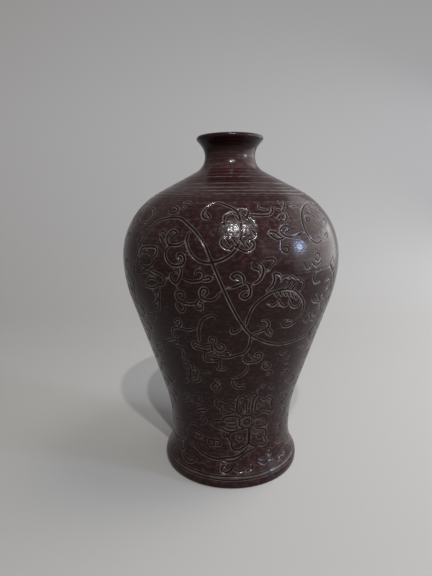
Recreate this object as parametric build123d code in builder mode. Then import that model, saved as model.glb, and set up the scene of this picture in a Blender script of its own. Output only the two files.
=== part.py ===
from build123d import *
from math import atan2, ceil, cos, pi, sin, sqrt
import os

# Meiping vase: high round shoulder, drawn-in waist, spreading foot and a short flared mouth.
# It is thrown in three sections, which are luted end to end with clay slip.
# Millimetres, +Z up, origin at the centre of the foot on the standing plane.

# Outline: the radius at each place where the wall stands upright, and the rise from one to the next
foot_r = 57.8
foot_edge_h = 3.7
waist_r = 51.0
waist_rise = 24.3
belly_r = 87.1
belly_rise = 149.5
neck_r = 19.9
neck_rise = 78.3
lip_r = 26.4
lip_rise = 13.2

# Outline: how full each sweep is (0 is straight, 1 has no straight run) and its lower bend's share
foot_ease = 0.9
foot_split = 0.19
flank_ease = 0.33
flank_split = 0.57
shoulder_ease = 0.54
shoulder_split = 0.81
mouth_ease = 0.60

# Most that a straight band stands off its bend, outside and inside
outside_gap = 0.3
inside_gap = 0.9

# Wall, floor and turned foot ring
wall = 4.0
floor_thick = 8.0
floor_round = 9.0
foot_edge_round = 1.6
foot_ring_w = 8.0
recess_h = 5.0
recess_taper = 1.5

# Luted joints: height of the body joint over the waist, drop of the neck joint under the neck
body_joint_rise = 92.0
neck_joint_drop = 29.5
slip_thick = 0.8
slip_proud = 1.2

# Places that follow from the sizes above
foot = (foot_r, foot_edge_h)
waist = (waist_r, foot_edge_h + waist_rise)
belly = (belly_r, waist[1] + belly_rise)
neck = (neck_r, belly[1] + neck_rise)
lip = (lip_r, neck[1] + lip_rise)
lip_round = wall / 2
lip_centre = (lip_r - lip_round, lip[1])
height = lip[1] + lip_round
floor_z = recess_h + floor_thick
recess_r = foot_r - foot_ring_w
body_joint_z = waist[1] + body_joint_rise
neck_joint_z = neck[1] - neck_joint_drop


def bend(centre, radius, start, stop, gap):
    """Points round a bend, close enough that no chord stands off the arc by more than the gap."""
    steps = ceil(abs(stop - start) * sqrt(radius / (8 * gap)))
    angles = [start + (stop - start) * i / steps for i in range(steps + 1)]
    return [(centre[0] + radius * cos(a), centre[1] + radius * sin(a)) for a in angles]


def sweep(lower, upper, ease):
    """Turn of a sweep between two upright places, and the sum of its two bend radii."""
    rise = upper[1] - lower[1]
    spread = abs(upper[0] - lower[0])
    turn = (1 + ease) * atan2(spread, rise)
    return turn, (rise * sin(turn) - spread * cos(turn)) / (1 - cos(turn))


def ogee(lower, upper, ease, split, inset, gap):
    """Bend, straight run and opposite bend from one upright place to the next, inset into the wall."""
    turn, radii = sweep(lower, upper, ease)
    low_r = split * radii
    high_r = radii - low_r
    if upper[0] > lower[0]:
        low = bend((lower[0] + low_r, lower[1]), low_r + inset, pi, pi - turn, gap)
        high = bend((upper[0] - high_r, upper[1]), high_r - inset, -turn, 0, gap)
    else:
        low = bend((lower[0] - low_r, lower[1]), low_r - inset, 0, turn, gap)
        high = bend((upper[0] + high_r, upper[1]), high_r + inset, pi + turn, pi, gap)
    return low + high


def wall_line(inset, gap):
    """The wall from the waist up over belly, shoulder and neck to the start of the lip's round."""
    flank = ogee(waist, belly, flank_ease, flank_split, inset, gap)
    shoulder = ogee(belly, neck, shoulder_ease, shoulder_split, inset, gap)
    flare_r = mouth_radii - lip_round
    flare = bend((neck_r + flare_r, neck[1]), flare_r + inset, pi, pi - mouth_turn, gap)
    return flank + shoulder[1:] + flare[1:]


def half_section(thick):
    """Half of the pot's section with a wall of the given thickness."""
    edge_centre = (foot_r - foot_edge_round, foot_edge_round)
    foot_edge = bend(edge_centre, foot_edge_round, -pi / 2, 0, outside_gap)
    foot_spread = ogee(foot, waist, foot_ease, foot_split, 0, outside_gap)
    outside = foot_edge + foot_spread + wall_line(0, outside_gap)[1:]
    lip_edge = bend(lip_centre, lip_round, -mouth_turn, pi / 2, outside_gap)
    lip_top = bend(lip_centre, lip_round, pi / 2, pi - mouth_turn, outside_gap)
    inside = wall_line(thick, inside_gap)[::-1]
    corner_centre = (waist_r - thick - floor_round, floor_z + floor_round)
    floor_corner = bend(corner_centre, floor_round, 0, -pi / 2, inside_gap)
    base = [(0, floor_z), (0, recess_h), (recess_r - recess_taper, recess_h), (recess_r, 0)]
    return outside + lip_edge + lip_top[1:] + inside + floor_corner + base


mouth_turn, mouth_radii = sweep(neck, lip, mouth_ease)

# Lower section: recessed base, turned foot ring, waist and lower flank
with BuildPart() as lower_section:
    with BuildSketch(Plane.XZ):
        with BuildLine():
            Polyline(*half_section(wall), close=True)
        make_face()
        Rectangle(belly_r, body_joint_z, align=(Align.MIN, Align.MIN), mode=Mode.INTERSECT)
    revolve(axis=Axis.Z)
lower_section.part.label = "lower_section"

# Shoulder section: upper flank, belly and shoulder
with BuildPart() as shoulder_section:
    with BuildSketch(Plane.XZ):
        with BuildLine():
            Polyline(*half_section(wall), close=True)
        make_face()
        with Locations((0, body_joint_z + slip_thick)):
            shoulder_h = neck_joint_z - body_joint_z - slip_thick
            Rectangle(belly_r, shoulder_h, align=(Align.MIN, Align.MIN), mode=Mode.INTERSECT)
    revolve(axis=Axis.Z)
shoulder_section.part.label = "shoulder_section"

# Neck section: foot of the neck, neck, flare and rounded lip
with BuildPart() as neck_section:
    with BuildSketch(Plane.XZ):
        with BuildLine():
            Polyline(*half_section(wall), close=True)
        make_face()
        with Locations((0, neck_joint_z + slip_thick)):
            Rectangle(belly_r, height, align=(Align.MIN, Align.MIN), mode=Mode.INTERSECT)
    revolve(axis=Axis.Z)
neck_section.part.label = "neck_section"

# Slip between the lower and shoulder sections, squeezed out a little inside
with BuildPart() as body_slip_joint:
    with BuildSketch(Plane.XZ):
        with BuildLine():
            Polyline(*half_section(wall + slip_proud), close=True)
        make_face()
        with Locations((0, body_joint_z)):
            Rectangle(belly_r, slip_thick, align=(Align.MIN, Align.MIN), mode=Mode.INTERSECT)
    revolve(axis=Axis.Z)
body_slip_joint.part.label = "body_slip_joint"

# Slip between the shoulder and neck sections, squeezed out a little inside
with BuildPart() as neck_slip_joint:
    with BuildSketch(Plane.XZ):
        with BuildLine():
            Polyline(*half_section(wall + slip_proud), close=True)
        make_face()
        with Locations((0, neck_joint_z)):
            Rectangle(belly_r, slip_thick, align=(Align.MIN, Align.MIN), mode=Mode.INTERSECT)
    revolve(axis=Axis.Z)
neck_slip_joint.part.label = "neck_slip_joint"

os.makedirs("parts", exist_ok=True)
pieces = [lower_section, shoulder_section, neck_section, body_slip_joint, neck_slip_joint]
for piece in pieces:
    export_step(piece.part, f"parts/{piece.part.label}.step")
print(f"height {height:.1f}, belly diameter {2 * belly_r:.1f}")
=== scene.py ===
import bpy
from bisect import bisect_right
from math import atan2, ceil, cos, degrees, hypot, pi, radians, sin
from mathutils import Matrix, Vector, kdtree
from mathutils.geometry import delaunay_2d_cdt


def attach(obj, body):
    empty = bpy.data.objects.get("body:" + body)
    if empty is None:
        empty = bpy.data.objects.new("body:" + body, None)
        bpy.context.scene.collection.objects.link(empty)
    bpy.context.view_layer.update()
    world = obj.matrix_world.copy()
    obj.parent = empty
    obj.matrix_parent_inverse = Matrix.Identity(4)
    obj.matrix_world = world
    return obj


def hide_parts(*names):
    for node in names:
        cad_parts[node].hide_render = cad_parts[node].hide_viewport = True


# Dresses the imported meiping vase: incised scroll, aubergine glaze, bare clay foot, floor, light and camera.
# The vase is worked out in millimetres and its mesh is written in metres.
# Materials, floor, lamps and camera are in metres.

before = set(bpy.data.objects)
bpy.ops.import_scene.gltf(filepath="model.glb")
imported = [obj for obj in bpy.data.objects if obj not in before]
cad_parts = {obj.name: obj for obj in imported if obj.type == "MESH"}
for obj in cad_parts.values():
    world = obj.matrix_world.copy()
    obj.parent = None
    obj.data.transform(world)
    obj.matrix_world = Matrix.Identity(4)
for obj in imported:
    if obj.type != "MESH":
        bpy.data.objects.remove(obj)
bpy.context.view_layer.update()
MM = 0.001
BLACK = (0, 0, 0)
WHITE = (1, 1, 1)

# Outline, as in the solids with a belly 0.04 smaller: radius and height where the wall stands upright
FOOT = (57.8, 3.7)
WAIST = (51.0, 28.0)
BELLY = (87.06, 177.5)
NECK = (19.9, 255.8)
LIP = (26.4, 269.0)
FOOT_EDGE = 1.6
WALL = 4.0
LIP_ROUND = WALL / 2

# Outline, as in the solids: how full each sweep is and its lower bend's share
FOOT_EASE = 0.9
FOOT_SPLIT = 0.19
FLANK_EASE = 0.33
FLANK_SPLIT = 0.57
SHOULDER_EASE = 0.54
SHOULDER_SPLIT = 0.81
MOUTH_EASE = 0.60

# Points round a bend: spacing on the wall, the foot's edge, the lip and the base, and least number of steps
WALL_STEP = 1.0
EDGE_STEP = 0.5
LIP_STEP = 0.45
BASE_STEP = 0.4
LEAST_STEPS = 4

# Point of the outside, counted from the standing plane, where the glaze starts
GLAZE_POINT = 4

# Floor and foot ring
FLOOR_Z = 13.0
FLOOR_ROUND = 9.0
RECESS_Z = 5.0
RECESS_R = 49.8
RECESS_TAPER = 1.5
RECESS_BEVEL = (0.5, 0.4)

# Inside: slip squeezed out of the luted joints, and one point in so many kept where the wall is plain
SLIP_JOINTS = (120.4, 226.7)
SLIP_PROUD = 1.2
SLIP_REACH = 1.6
INSIDE_SKIP = 4

# Incised lines: depth and half width, rows of points beside a line, step along it, farthest distance stored
CUT_DEPTH = 0.52
CUT_HALF = 0.70
CUT_ROWS = (0.0, 0.5, 1.0, 1.6)
CUT_STEP = 1.2
CUT_REACH = 4.0

# Fineness of the lines, which grows to one with the distance up the wall
FINENESS_LOW = 0.84
FINENESS_RISE = 0.0012

# Ends of the lines: how much finer they are, over how many steps
END_TAPER = 0.5
END_STEPS = 3

# Short strokes: half of one, in degrees across and millimetres along the wall
STROKE_HALF = (0.7, 1.5)

# Turned rings: distance up the wall and depth, half width, fineness, rows of points, room for those rows
RINGS = ((11.0, 0.2), (8.4, 0.08), (241.4, 0.4), (245.8, 0.35), (250.4, 0.22), (257.6, 0.25), (268.5, 0.3))
RING_HALF = 0.9
RING_FINENESS = 1.3
RING_ROWS = (-1.6, -0.9, -0.45, 0, 0.45, 0.9, 1.6)
RING_CLEAR = 1.8

# Stippled ground of the top flower: its middle and half size, in degrees and distance up the wall
STIPPLE_MIDDLE = (3.4, 211.0)
STIPPLE_HALF = (10.0, 16.0)

# Mesh: repeats of the ornament round the pot, columns in a repeat, spacing of plain rows
REPEATS = 3
COLUMNS = 56
PLAIN_STEP = 3.0
REPEAT = 360 / REPEATS
EDGE = REPEAT / 2
COLUMN_STEP = REPEAT / COLUMNS

# Flat pattern of one repeat: millimetres to a degree, least gaps between points and along the border
FLAT_SCALE = 1.25
MIN_GAP = 0.35
BORDER_GAP = 0.1

# Strips kept clear at the border, at the seam and beside the lines
BORDER_CLEAR = 1.0
SEAM_CLEAR = COLUMN_STEP / 4
PLAIN_CLEAR = 0.6

# Degrees beyond a repeat that are searched for lines, and when places and points count as the same
MARK_MARGIN = 6
SAME_DIGITS = 4
SAME_PLACE = 1e-4
SAME_POINT = 1e-6


# Outline


def bend(centre, radius, start, stop, step=WALL_STEP):
    """Points round an arc about a step apart."""
    count = max(LEAST_STEPS, ceil(abs((stop - start) * radius) / step))
    turns = [start + (stop - start) * i / count for i in range(count + 1)]
    return [(centre[0] + radius * cos(t), centre[1] + radius * sin(t)) for t in turns]


def sweep(lower, upper, ease):
    """Turn of a sweep between two upright places, and the sum of its two bend radii."""
    rise = upper[1] - lower[1]
    spread = abs(upper[0] - lower[0])
    turn = (1 + ease) * atan2(spread, rise)
    return turn, (rise * sin(turn) - spread * cos(turn)) / (1 - cos(turn))


def ogee(lower, upper, ease, split, inset):
    """Bend, straight run and opposite bend from one upright place to the next."""
    turn, radii = sweep(lower, upper, ease)
    low_r = split * radii
    high_r = radii - low_r
    if upper[0] > lower[0]:
        low = bend((lower[0] + low_r, lower[1]), low_r + inset, pi, pi - turn)
        high = bend((upper[0] - high_r, upper[1]), high_r - inset, -turn, 0)
    else:
        low = bend((lower[0] - low_r, lower[1]), low_r - inset, 0, turn)
        high = bend((upper[0] + high_r, upper[1]), high_r + inset, pi + turn, pi)
    return low + high


def wall_line(inset):
    """The wall from the waist to the start of the lip's round."""
    turn, radii = sweep(NECK, LIP, MOUTH_EASE)
    flare_r = radii - LIP_ROUND
    flare = bend((NECK[0] + flare_r, NECK[1]), flare_r + inset, pi, pi - turn)
    flank = ogee(WAIST, BELLY, FLANK_EASE, FLANK_SPLIT, inset)
    shoulder = ogee(BELLY, NECK, SHOULDER_EASE, SHOULDER_SPLIT, inset)
    return flank + shoulder[1:] + flare[1:]


def outside_line():
    """The outside from the standing plane to the start of the lip's round."""
    edge = bend((FOOT[0] - FOOT_EDGE, FOOT_EDGE), FOOT_EDGE, -pi / 2, 0, EDGE_STEP)
    return edge + ogee(FOOT, WAIST, FOOT_EASE, FOOT_SPLIT, 0) + wall_line(0)[1:]


# Points of the outside, and the distance up the wall at each
OUTSIDE = outside_line()
UP = [0.0]
for (r0, z0), (r1, z1) in zip(OUTSIDE, OUTSIDE[1:]):
    UP.append(UP[-1] + hypot(r1 - r0, z1 - z0))
WALL_TOP = UP[-1]
GLAZE_LINE = UP[GLAZE_POINT]


def on_wall(up):
    """Radius, height and outward normal at a distance up the wall."""
    i = min(max(bisect_right(UP, up) - 1, 0), len(OUTSIDE) - 2)
    (r0, z0), (r1, z1) = OUTSIDE[i], OUTSIDE[i + 1]
    run = UP[i + 1] - UP[i]
    share = (up - UP[i]) / run
    return r0 + share * (r1 - r0), z0 + share * (z1 - z0), (z1 - z0) / run, (r0 - r1) / run


def turned(r, z, degree):
    """A point of the pot; zero degrees faces the camera and angles grow to its right."""
    return Vector((r * sin(radians(degree)), -r * cos(radians(degree)), z))


# Incised scroll: lines as (degrees round the pot, millimetres up the wall), one repeat of it


def hatched(*middles):
    """Short slanted strokes, each about its middle."""
    across, along = STROKE_HALF
    return [[(degree - across, up + along), (degree + across, up - along)] for degree, up in middles]


MAIN_STEM = [
    [(-70, 129), (-63, 140), (-57, 160), (-52, 182), (-48, 198), (-43.5, 210), (-38.9, 217), (-32, 219.7),
     (-25.5, 219.7), (-20.6, 215.6), (-15.3, 209.3), (-10.7, 200.2), (-7.9, 191), (-4.2, 177.7),
     (-0.3, 163.7), (4.1, 150.5), (8.9, 140), (13.7, 134.7), (21.2, 129.5), (29, 127), (37.9, 127.2),
     (46.6, 128.4), (50, 129)],
]
TOP_LOOP = [
    [(-12, 224.5), (-10.9, 222.6), (-9.9, 221.1), (-10.5, 219.8), (-12, 219.5), (-13.4, 221), (-13.8, 224),
     (-12.6, 228), (-10.3, 231), (-6.5, 232.7), (-2.3, 230.4), (1.8, 227.2), (4.2, 222.5), (5, 214),
     (4.4, 205), (1.8, 197.4), (-2.8, 192.3), (-8.5, 189.9), (-13, 190.8), (-16.8, 195), (-19.3, 202),
     (-19.5, 206.7), (-18.7, 209.7)],
]
TOP_FLOWER = [
    [(4.8, 226.6), (7.6, 226.4), (9.4, 224.4), (8.4, 221.6), (8, 219.6), (10, 217.8), (10.9, 214.6),
     (9.9, 211.2), (11, 208.8), (10.4, 206), (8, 204.2), (10, 203), (10.2, 200.4), (8.8, 198), (6.8, 197),
     (4.6, 198.2)],
    [(4.6, 198.2), (1.8, 200.4), (0.4, 198.4), (-1.6, 199), (-3.3, 200.9), (-4, 203.4), (-3, 206)],
    [(-2.8, 217.4), (-2.6, 220.8), (-1, 223), (2, 223.6), (4.4, 222)],
    *hatched((-0.8, 203.6), (2.2, 203.2), (3.4, 219.4), (6.4, 222.4), (5.6, 202.6), (7.8, 201.2)),
    [(8.9, 222.3), (12.7, 221.8), (16, 221.5), (19.3, 221.8), (21.4, 223.3), (22.6, 226.3), (23, 229)],
    [(15.5, 229.6), (15.4, 227.8), (16.8, 226.8), (19, 226.2)],
]
TOP_RIGHT_SPRIG = [
    [(24, 226.6), (26.4, 225.8), (28.8, 224.6), (29.7, 221.8), (29, 218.8), (27, 217.2), (24.7, 217.5),
     (24.2, 219), (25.4, 220.6), (27, 222.2), (27.9, 220.9)],
    [(27.4, 225.4), (29.4, 226.4), (30.4, 228.2), (29.4, 230.6), (28.7, 233.8)],
    [(30.4, 228.2), (32, 230.2), (32.6, 233.4)],
    [(35.4, 228.5), (40.2, 228.5)],
]
TOP_LEFT_SPRIG = [
    [(-34.5, 225.5), (-33, 223.8), (-30.5, 223.8), (-28.9, 225.2), (-29.3, 227.8), (-31, 229.3),
     (-33.5, 229.8)],
    [(-27.5, 227), (-25.8, 227.5), (-25.1, 229), (-25.9, 229.9)],
    [(-27.3, 232.8), (-25.5, 233.9), (-23.2, 233.2), (-21.6, 231.5)],
    [(-51, 227.5), (-48.5, 227), (-46.3, 224.5), (-45, 221.2), (-46.5, 217.5), (-48.5, 215.6), (-51, 216)],
]
LEFT_BUDS = [
    [(-34.2, 209.6), (-32.3, 209.3), (-31.4, 207.8)],
    [(-34.6, 208.5), (-33.6, 205), (-31.8, 201.8), (-30.2, 200)],
    [(-28.6, 209.8), (-30, 206.8), (-29.9, 203.5), (-28.6, 201), (-26, 200.5), (-23.2, 201), (-21, 202.8)],
    [(-29.2, 210), (-27.6, 210.7), (-25.8, 210), (-25, 209), (-25.9, 207.4), (-27.4, 205.9), (-28.2, 202.9)],
    [(-27.8, 199.9), (-29.4, 197.6), (-29.7, 193.8), (-28.5, 190), (-26.6, 187.8), (-24, 187.2),
     (-21.3, 188.1), (-20, 190.8), (-20.4, 193.8), (-21.7, 195.3), (-23.2, 194.5), (-23.4, 192.7),
     (-22.3, 191.1)],
    [(-22.1, 187), (-21.4, 183.5), (-22.2, 179.8), (-23.3, 176.8), (-24.7, 175.3), (-26.4, 176.7),
     (-27.1, 178.9), (-26.6, 181.4), (-24.9, 182.5)],
    [(-20.5, 178.9), (-18.7, 177.9), (-16.6, 177.4), (-14.1, 177.9), (-12.2, 178.9), (-11.2, 181.4),
     (-11.6, 183.7), (-13, 184.8), (-14.5, 184.2), (-15.1, 182.3)],
    [(-11.6, 177.7), (-9.1, 178.5), (-8, 179.8), (-9.1, 180.6), (-11, 179.8)],
]
LEFT_FLOWER = [
    [(-46.4, 190.4), (-47, 194.5), (-44.8, 197.6), (-40, 198.5), (-36.1, 198.4), (-35, 196.4), (-35.7, 193),
     (-38, 190.6)],
    [(-38, 190.6), (-36.9, 188), (-39, 185.4), (-43, 184.6), (-46.4, 186.4), (-46.4, 190.4)],
    [(-44, 193.5), (-41.5, 194.6), (-39.5, 193)],
    [(-39.5, 183.9), (-37, 181.8), (-34.5, 181), (-32, 179.8), (-30.5, 177.7), (-30.4, 176), (-32, 173.5),
     (-34.9, 172.7), (-37.4, 170.6), (-41.2, 170.2), (-44.9, 171), (-47.5, 174.5), (-46.5, 179),
     (-43, 182.5), (-39.5, 183.9)],
    [(-42.5, 174.4), (-40, 176.6), (-37.5, 177), (-35, 175.8)],
    [(-45, 179.6), (-42, 181), (-38.6, 180.2), (-36, 178.4)],
    [(-38.3, 168), (-36.8, 164.3), (-37.2, 160.6), (-40, 158)],
    [(-33.7, 169.3), (-34.9, 164.6), (-35.8, 160.2), (-36.6, 155.2), (-39.9, 151.8)],
]
MIDDLE_TENDRILS = [
    [(-14.9, 163.1), (-16.6, 161.9), (-18.7, 161.3), (-21.2, 161.8), (-23.4, 163), (-24.9, 165),
     (-24.9, 168), (-23.4, 169.8), (-21.5, 169.3), (-20.8, 167.2), (-21.6, 165.3), (-23, 165.6)],
    [(-4.7, 169.8), (-5.8, 167.3), (-7.8, 165.3), (-10.3, 165), (-12.4, 166.2), (-13.2, 168.9),
     (-12.8, 171.8), (-11.6, 173.1), (-10.1, 172.3), (-10.1, 169.8), (-11.2, 168.3), (-12, 169.3)],
    [(-13.5, 165.6), (-15.1, 163.5), (-15.7, 161), (-15.1, 158.5), (-13.7, 158.1), (-12.6, 159.3),
     (-12.8, 161.8), (-13.9, 162.3), (-14.3, 160.6)],
    [(-25.6, 160.8), (-25.3, 157.4), (-23.8, 154.8), (-22.2, 155.7), (-21.3, 158.3), (-22, 160.2)],
    [(-1.2, 173.8), (0.6, 173.8), (3.2, 175.1), (5.4, 176.8), (5.6, 180.4), (4.5, 182.5), (2.8, 183.4),
     (1.2, 182.5), (0.6, 180.8), (1.9, 179.5), (3.9, 179)],
    [(5.4, 176.8), (7.2, 176.4), (8.5, 173.8), (8.8, 170.7), (8.3, 167.6), (6.7, 166.1), (5.2, 166.8),
     (4.5, 168.5), (5.6, 170.3), (6.9, 171.1)],
    [(8.9, 175.8), (11.1, 176.8), (12.9, 179), (14, 182.5), (14, 186.1), (12.9, 188.7), (11.5, 190.2)],
    [(9.6, 190), (9.6, 186.8), (11.1, 185.8), (12.4, 184.7), (12.8, 182.6)],
    [(15, 191.7), (18.5, 192.1), (19.5, 190.4), (18.9, 188.8)],
    [(15.2, 184.6), (16.4, 184.6), (17.5, 186.7)],
]
RIGHT_TREFOIL = [
    [(23.7, 205.9), (22.3, 207.1), (20.6, 209.2), (18, 209.6), (18.4, 207.4), (20.2, 205.3), (22.6, 204.2),
     (24.6, 205.2)],
    [(25.9, 208.3), (26.8, 209.6), (28.7, 210.8), (28.5, 212.9), (26.4, 213.5), (24.3, 212.1), (23.7, 209.2),
     (25.2, 206.7), (27.7, 205.7), (30.6, 205.7), (33.1, 206.7), (35.2, 207.9)],
    [(23.5, 203.8), (22.9, 199.2), (23.1, 197.1), (24.8, 195.4), (26.4, 196.3), (26.6, 197.9), (25.2, 199.2),
     (23.9, 199.2)],
]
RIGHT_LOOP = [
    [(62, 230.6), (56, 231.4), (51.6, 230.8), (47.7, 229.4), (43.9, 226.6), (41, 223.2), (39.2, 219.4),
     (38.1, 214), (38.3, 208.5), (40.3, 203), (42.8, 200.4), (45.2, 199.8), (47.2, 201.2), (47.4, 203.4),
     (46, 204)],
    [(42.2, 215.2), (41.6, 217.4), (42.8, 219.6), (44.6, 218.8), (44.2, 216.6)],
    *hatched((45, 223.6), (47.2, 221.4), (47.6, 225.8), (49.4, 219.6), (49.8, 224), (51.8, 221.8),
             (52.2, 226.4), (54, 219.8), (54.4, 224.4), (56.4, 222)),
    [(57.8, 226.4), (60.4, 224), (59.4, 220.4), (61.2, 217), (59.6, 213.4), (56.4, 213.6), (54, 215.8)],
    [(53, 205), (54.6, 206.4), (56.4, 205.4), (55.4, 203.6)],
    [(41.2, 190.6), (42.4, 192.8), (44.6, 192.6), (45.4, 190.4), (44.4, 188.4), (42.4, 188.4),
     (41.2, 190.6)],
    [(40.4, 186.4), (41.8, 184.8), (43.8, 185.2), (45.4, 186.6)],
    [(35.2, 186), (36.2, 183.6), (38.6, 184.4)],
    [(46, 181.4), (42.6, 180.6), (41.2, 176.8), (42.4, 173), (46, 172.4)],
]
HALF_PALMETTE = [
    [(7.6, 146.1), (8, 150.5), (8.9, 154.9), (10.2, 159.7), (12.4, 163.7), (16.8, 168.5), (19.9, 170),
     (23.8, 170.9), (27.3, 170.3), (30.4, 168.9), (33, 165.9), (35.2, 162.8), (37, 159.3), (37.9, 155),
     (37.5, 150.5), (35.2, 145.3), (32.2, 142.2), (28.8, 141.8), (26.7, 143.4), (27, 145.8), (29, 146.8),
     (31, 146)],
    [(16.2, 171.4), (18.2, 174), (19.3, 177.8), (19, 182), (21, 181.8), (22.3, 180), (22.8, 177.8)],
    [(22.8, 177.8), (23.8, 179.6), (25.2, 179.8), (26.4, 178)],
    [(26.4, 178), (27.4, 179.3), (28.8, 179), (29.9, 177.2)],
    [(29.9, 177.2), (31.2, 178), (32.6, 176.8), (33.2, 175.2)],
    [(33.2, 175.2), (34.6, 175), (35.2, 172.6), (34, 169.6)],
    [(21.3, 172.2), (22.6, 175.6)],
    [(23.8, 172.2), (25.4, 175.8)],
    [(26.4, 171.8), (28.2, 175.2)],
    [(28.8, 171), (30.8, 174.2)],
    [(17, 161.8), (19.2, 160.1), (21, 161.1), (22.3, 164)],
    [(22.6, 163), (23.7, 160.4), (25.6, 159), (27.4, 160.2), (28, 163)],
    [(28.4, 161.2), (29.6, 158.3), (31.8, 156.8), (34, 158), (34.6, 161)],
    *hatched((20.6, 167.6), (22.8, 168), (25, 167.6), (27.2, 166.8), (29.3, 165.8), (31.2, 164.2)),
]
STEM_SPRIGS = [
    [(11.1, 138.6), (13.7, 139.6), (16.4, 140.9), (18.6, 142.6), (19.2, 145.3), (18.3, 147.9), (16.6, 149.2),
     (15.5, 149.2)],
    [(13.7, 145.3), (15.9, 145.1), (17.5, 144.8)],
    [(17.9, 141), (18.6, 138.6), (20.6, 136)],
    [(19.2, 142.6), (20.8, 140), (21.4, 136.1)],
    [(5, 143), (3, 140.3), (1, 139.8), (0.4, 141.5), (0.7, 143.5)],
    [(-16.4, 131.8), (-16.2, 137.7), (-15.3, 143.5), (-14.1, 148.1), (-12.4, 151), (-9.9, 153.1),
     (-7.8, 153.9), (-6.4, 152.7), (-6.6, 151)],
    [(-28.7, 146), (-27, 148.5), (-25.3, 147.7), (-25.3, 144.3), (-27, 142.7), (-28.3, 144.3)],
    [(-17.4, 143.1), (-19.1, 141.4), (-21.6, 140.3), (-24.5, 140.6), (-27, 141), (-29.5, 140.6),
     (-31.2, 139.3), (-32, 136), (-31.2, 133.5), (-29.1, 133.1)],
    [(42.9, 163), (43.6, 159.6), (45.8, 157.6), (51, 156.7), (48.4, 160.5), (45.8, 163.7)],
    [(41.4, 146.5), (43, 148.6), (45.5, 147), (47, 143.6), (44, 141.6), (41.4, 143.6)],
    [(47, 143.6), (50, 141.5), (52.5, 142.6)],
    [(10.2, 137.6), (10.4, 133), (9.9, 128.6), (8.9, 125.1), (7.2, 122.5), (4.1, 121.1), (0.1, 119.4),
     (-3.4, 118.9), (-6, 119.8)],
    [(15.2, 118.4), (14.2, 120), (14.8, 121.6), (17.2, 121.1), (17.9, 119.4), (17.5, 116.3), (15.5, 114.4),
     (12.4, 113.9), (8.9, 114.4), (7.2, 117.2)],
    [(11.5, 119.6), (13.4, 117.2)],
    [(-40, 126), (-36.6, 128.6), (-31.8, 130.8)],
    [(-34.4, 127.2), (-30.6, 127.8), (-27.4, 126.4)],
    [(-34, 123.6), (-31, 124.4), (-28.4, 123.4)],
    [(-45.6, 141), (-43.4, 144.4), (-44.6, 148), (-47.4, 147.4)],
    [(19.9, 112.8), (22.1, 111.9), (24.7, 109.3), (22.9, 106.2), (20.3, 108.4), (19.9, 112.8)],
]
SMALL_FLOWER = [
    [(-16.7, 129.2), (-19.4, 130.9), (-20.6, 128.6), (-20, 126), (-17.6, 124.7), (-15.3, 124.1)],
    [(-16.7, 129.2), (-13.9, 128.6), (-11.6, 129.8), (-10.4, 128)],
    [(-15.3, 124.1), (-12.6, 123.6), (-10.4, 125.4), (-10.4, 128)],
    [(-10.4, 131.4), (-10.9, 134), (-9.7, 135.8), (-8.1, 135.4), (-7.4, 133.1), (-8.3, 131.2)],
    [(-8.3, 131.2), (-8.3, 128), (-6.7, 124.9), (-4.4, 124.9), (-3.2, 128), (-4.4, 129.8), (-6.9, 130.9)],
    [(-3.7, 122.9), (-2.3, 124.4), (-0.5, 124.2), (0.2, 122.2)],
    [(-14.4, 122.6), (-14.8, 116.4), (-13, 115), (-10.2, 115.2), (-7.6, 115.6), (-6, 114.1), (-5.8, 111.3),
     (-6.7, 108.5)],
    [(-7.9, 108.6), (-5.6, 107.6), (-3.2, 108.5), (-1.9, 110.4)],
    [(-11.6, 118.6), (-9.6, 117.4), (-7.4, 118)],
    [(-18.4, 127.2), (-15.4, 127), (-12.4, 126.4)],
    [(-9.7, 130.4), (-9.8, 127.4), (-9.4, 124.4)],
    [(-6.6, 128.8), (-5.4, 127.4), (-5.2, 125.8)],
    [(-7.6, 122.8), (-5.8, 121.6), (-3.8, 121.4)],
    [(-12.4, 121), (-10.2, 121.4), (-8.6, 120.2)],
]
LEFT_FEATHER = [
    [(-27.4, 121), (-28.4, 118.4), (-27.6, 115), (-26.4, 109), (-26, 103.5), (-26.8, 98.4), (-29.2, 94),
     (-33, 90.4)],
    [(-26.6, 110.8), (-24.6, 110.6), (-23.2, 108.6), (-24.2, 106.2)],
    [(-24.2, 106.2), (-21.8, 106.4), (-20.6, 103.8), (-22.4, 101.4)],
    [(-22.4, 101.4), (-20.2, 100.2), (-20, 97.2), (-22, 94.8), (-25.6, 93.2)],
    [(-28, 116.4), (-30.6, 114.2)],
    [(-27, 112.4), (-30, 109.6)],
    [(-26.4, 108), (-29.6, 105)],
    [(-26.2, 103.4), (-29.4, 100.6)],
    [(-26.6, 98.8), (-30, 96.2)],
    [(-25.8, 104.2), (-24, 105.4)],
    [(-26, 101), (-22.8, 104)],
    [(-26.4, 98), (-22.4, 100.2)],
    [(-27.2, 95.6), (-22.6, 97)],
]
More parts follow.
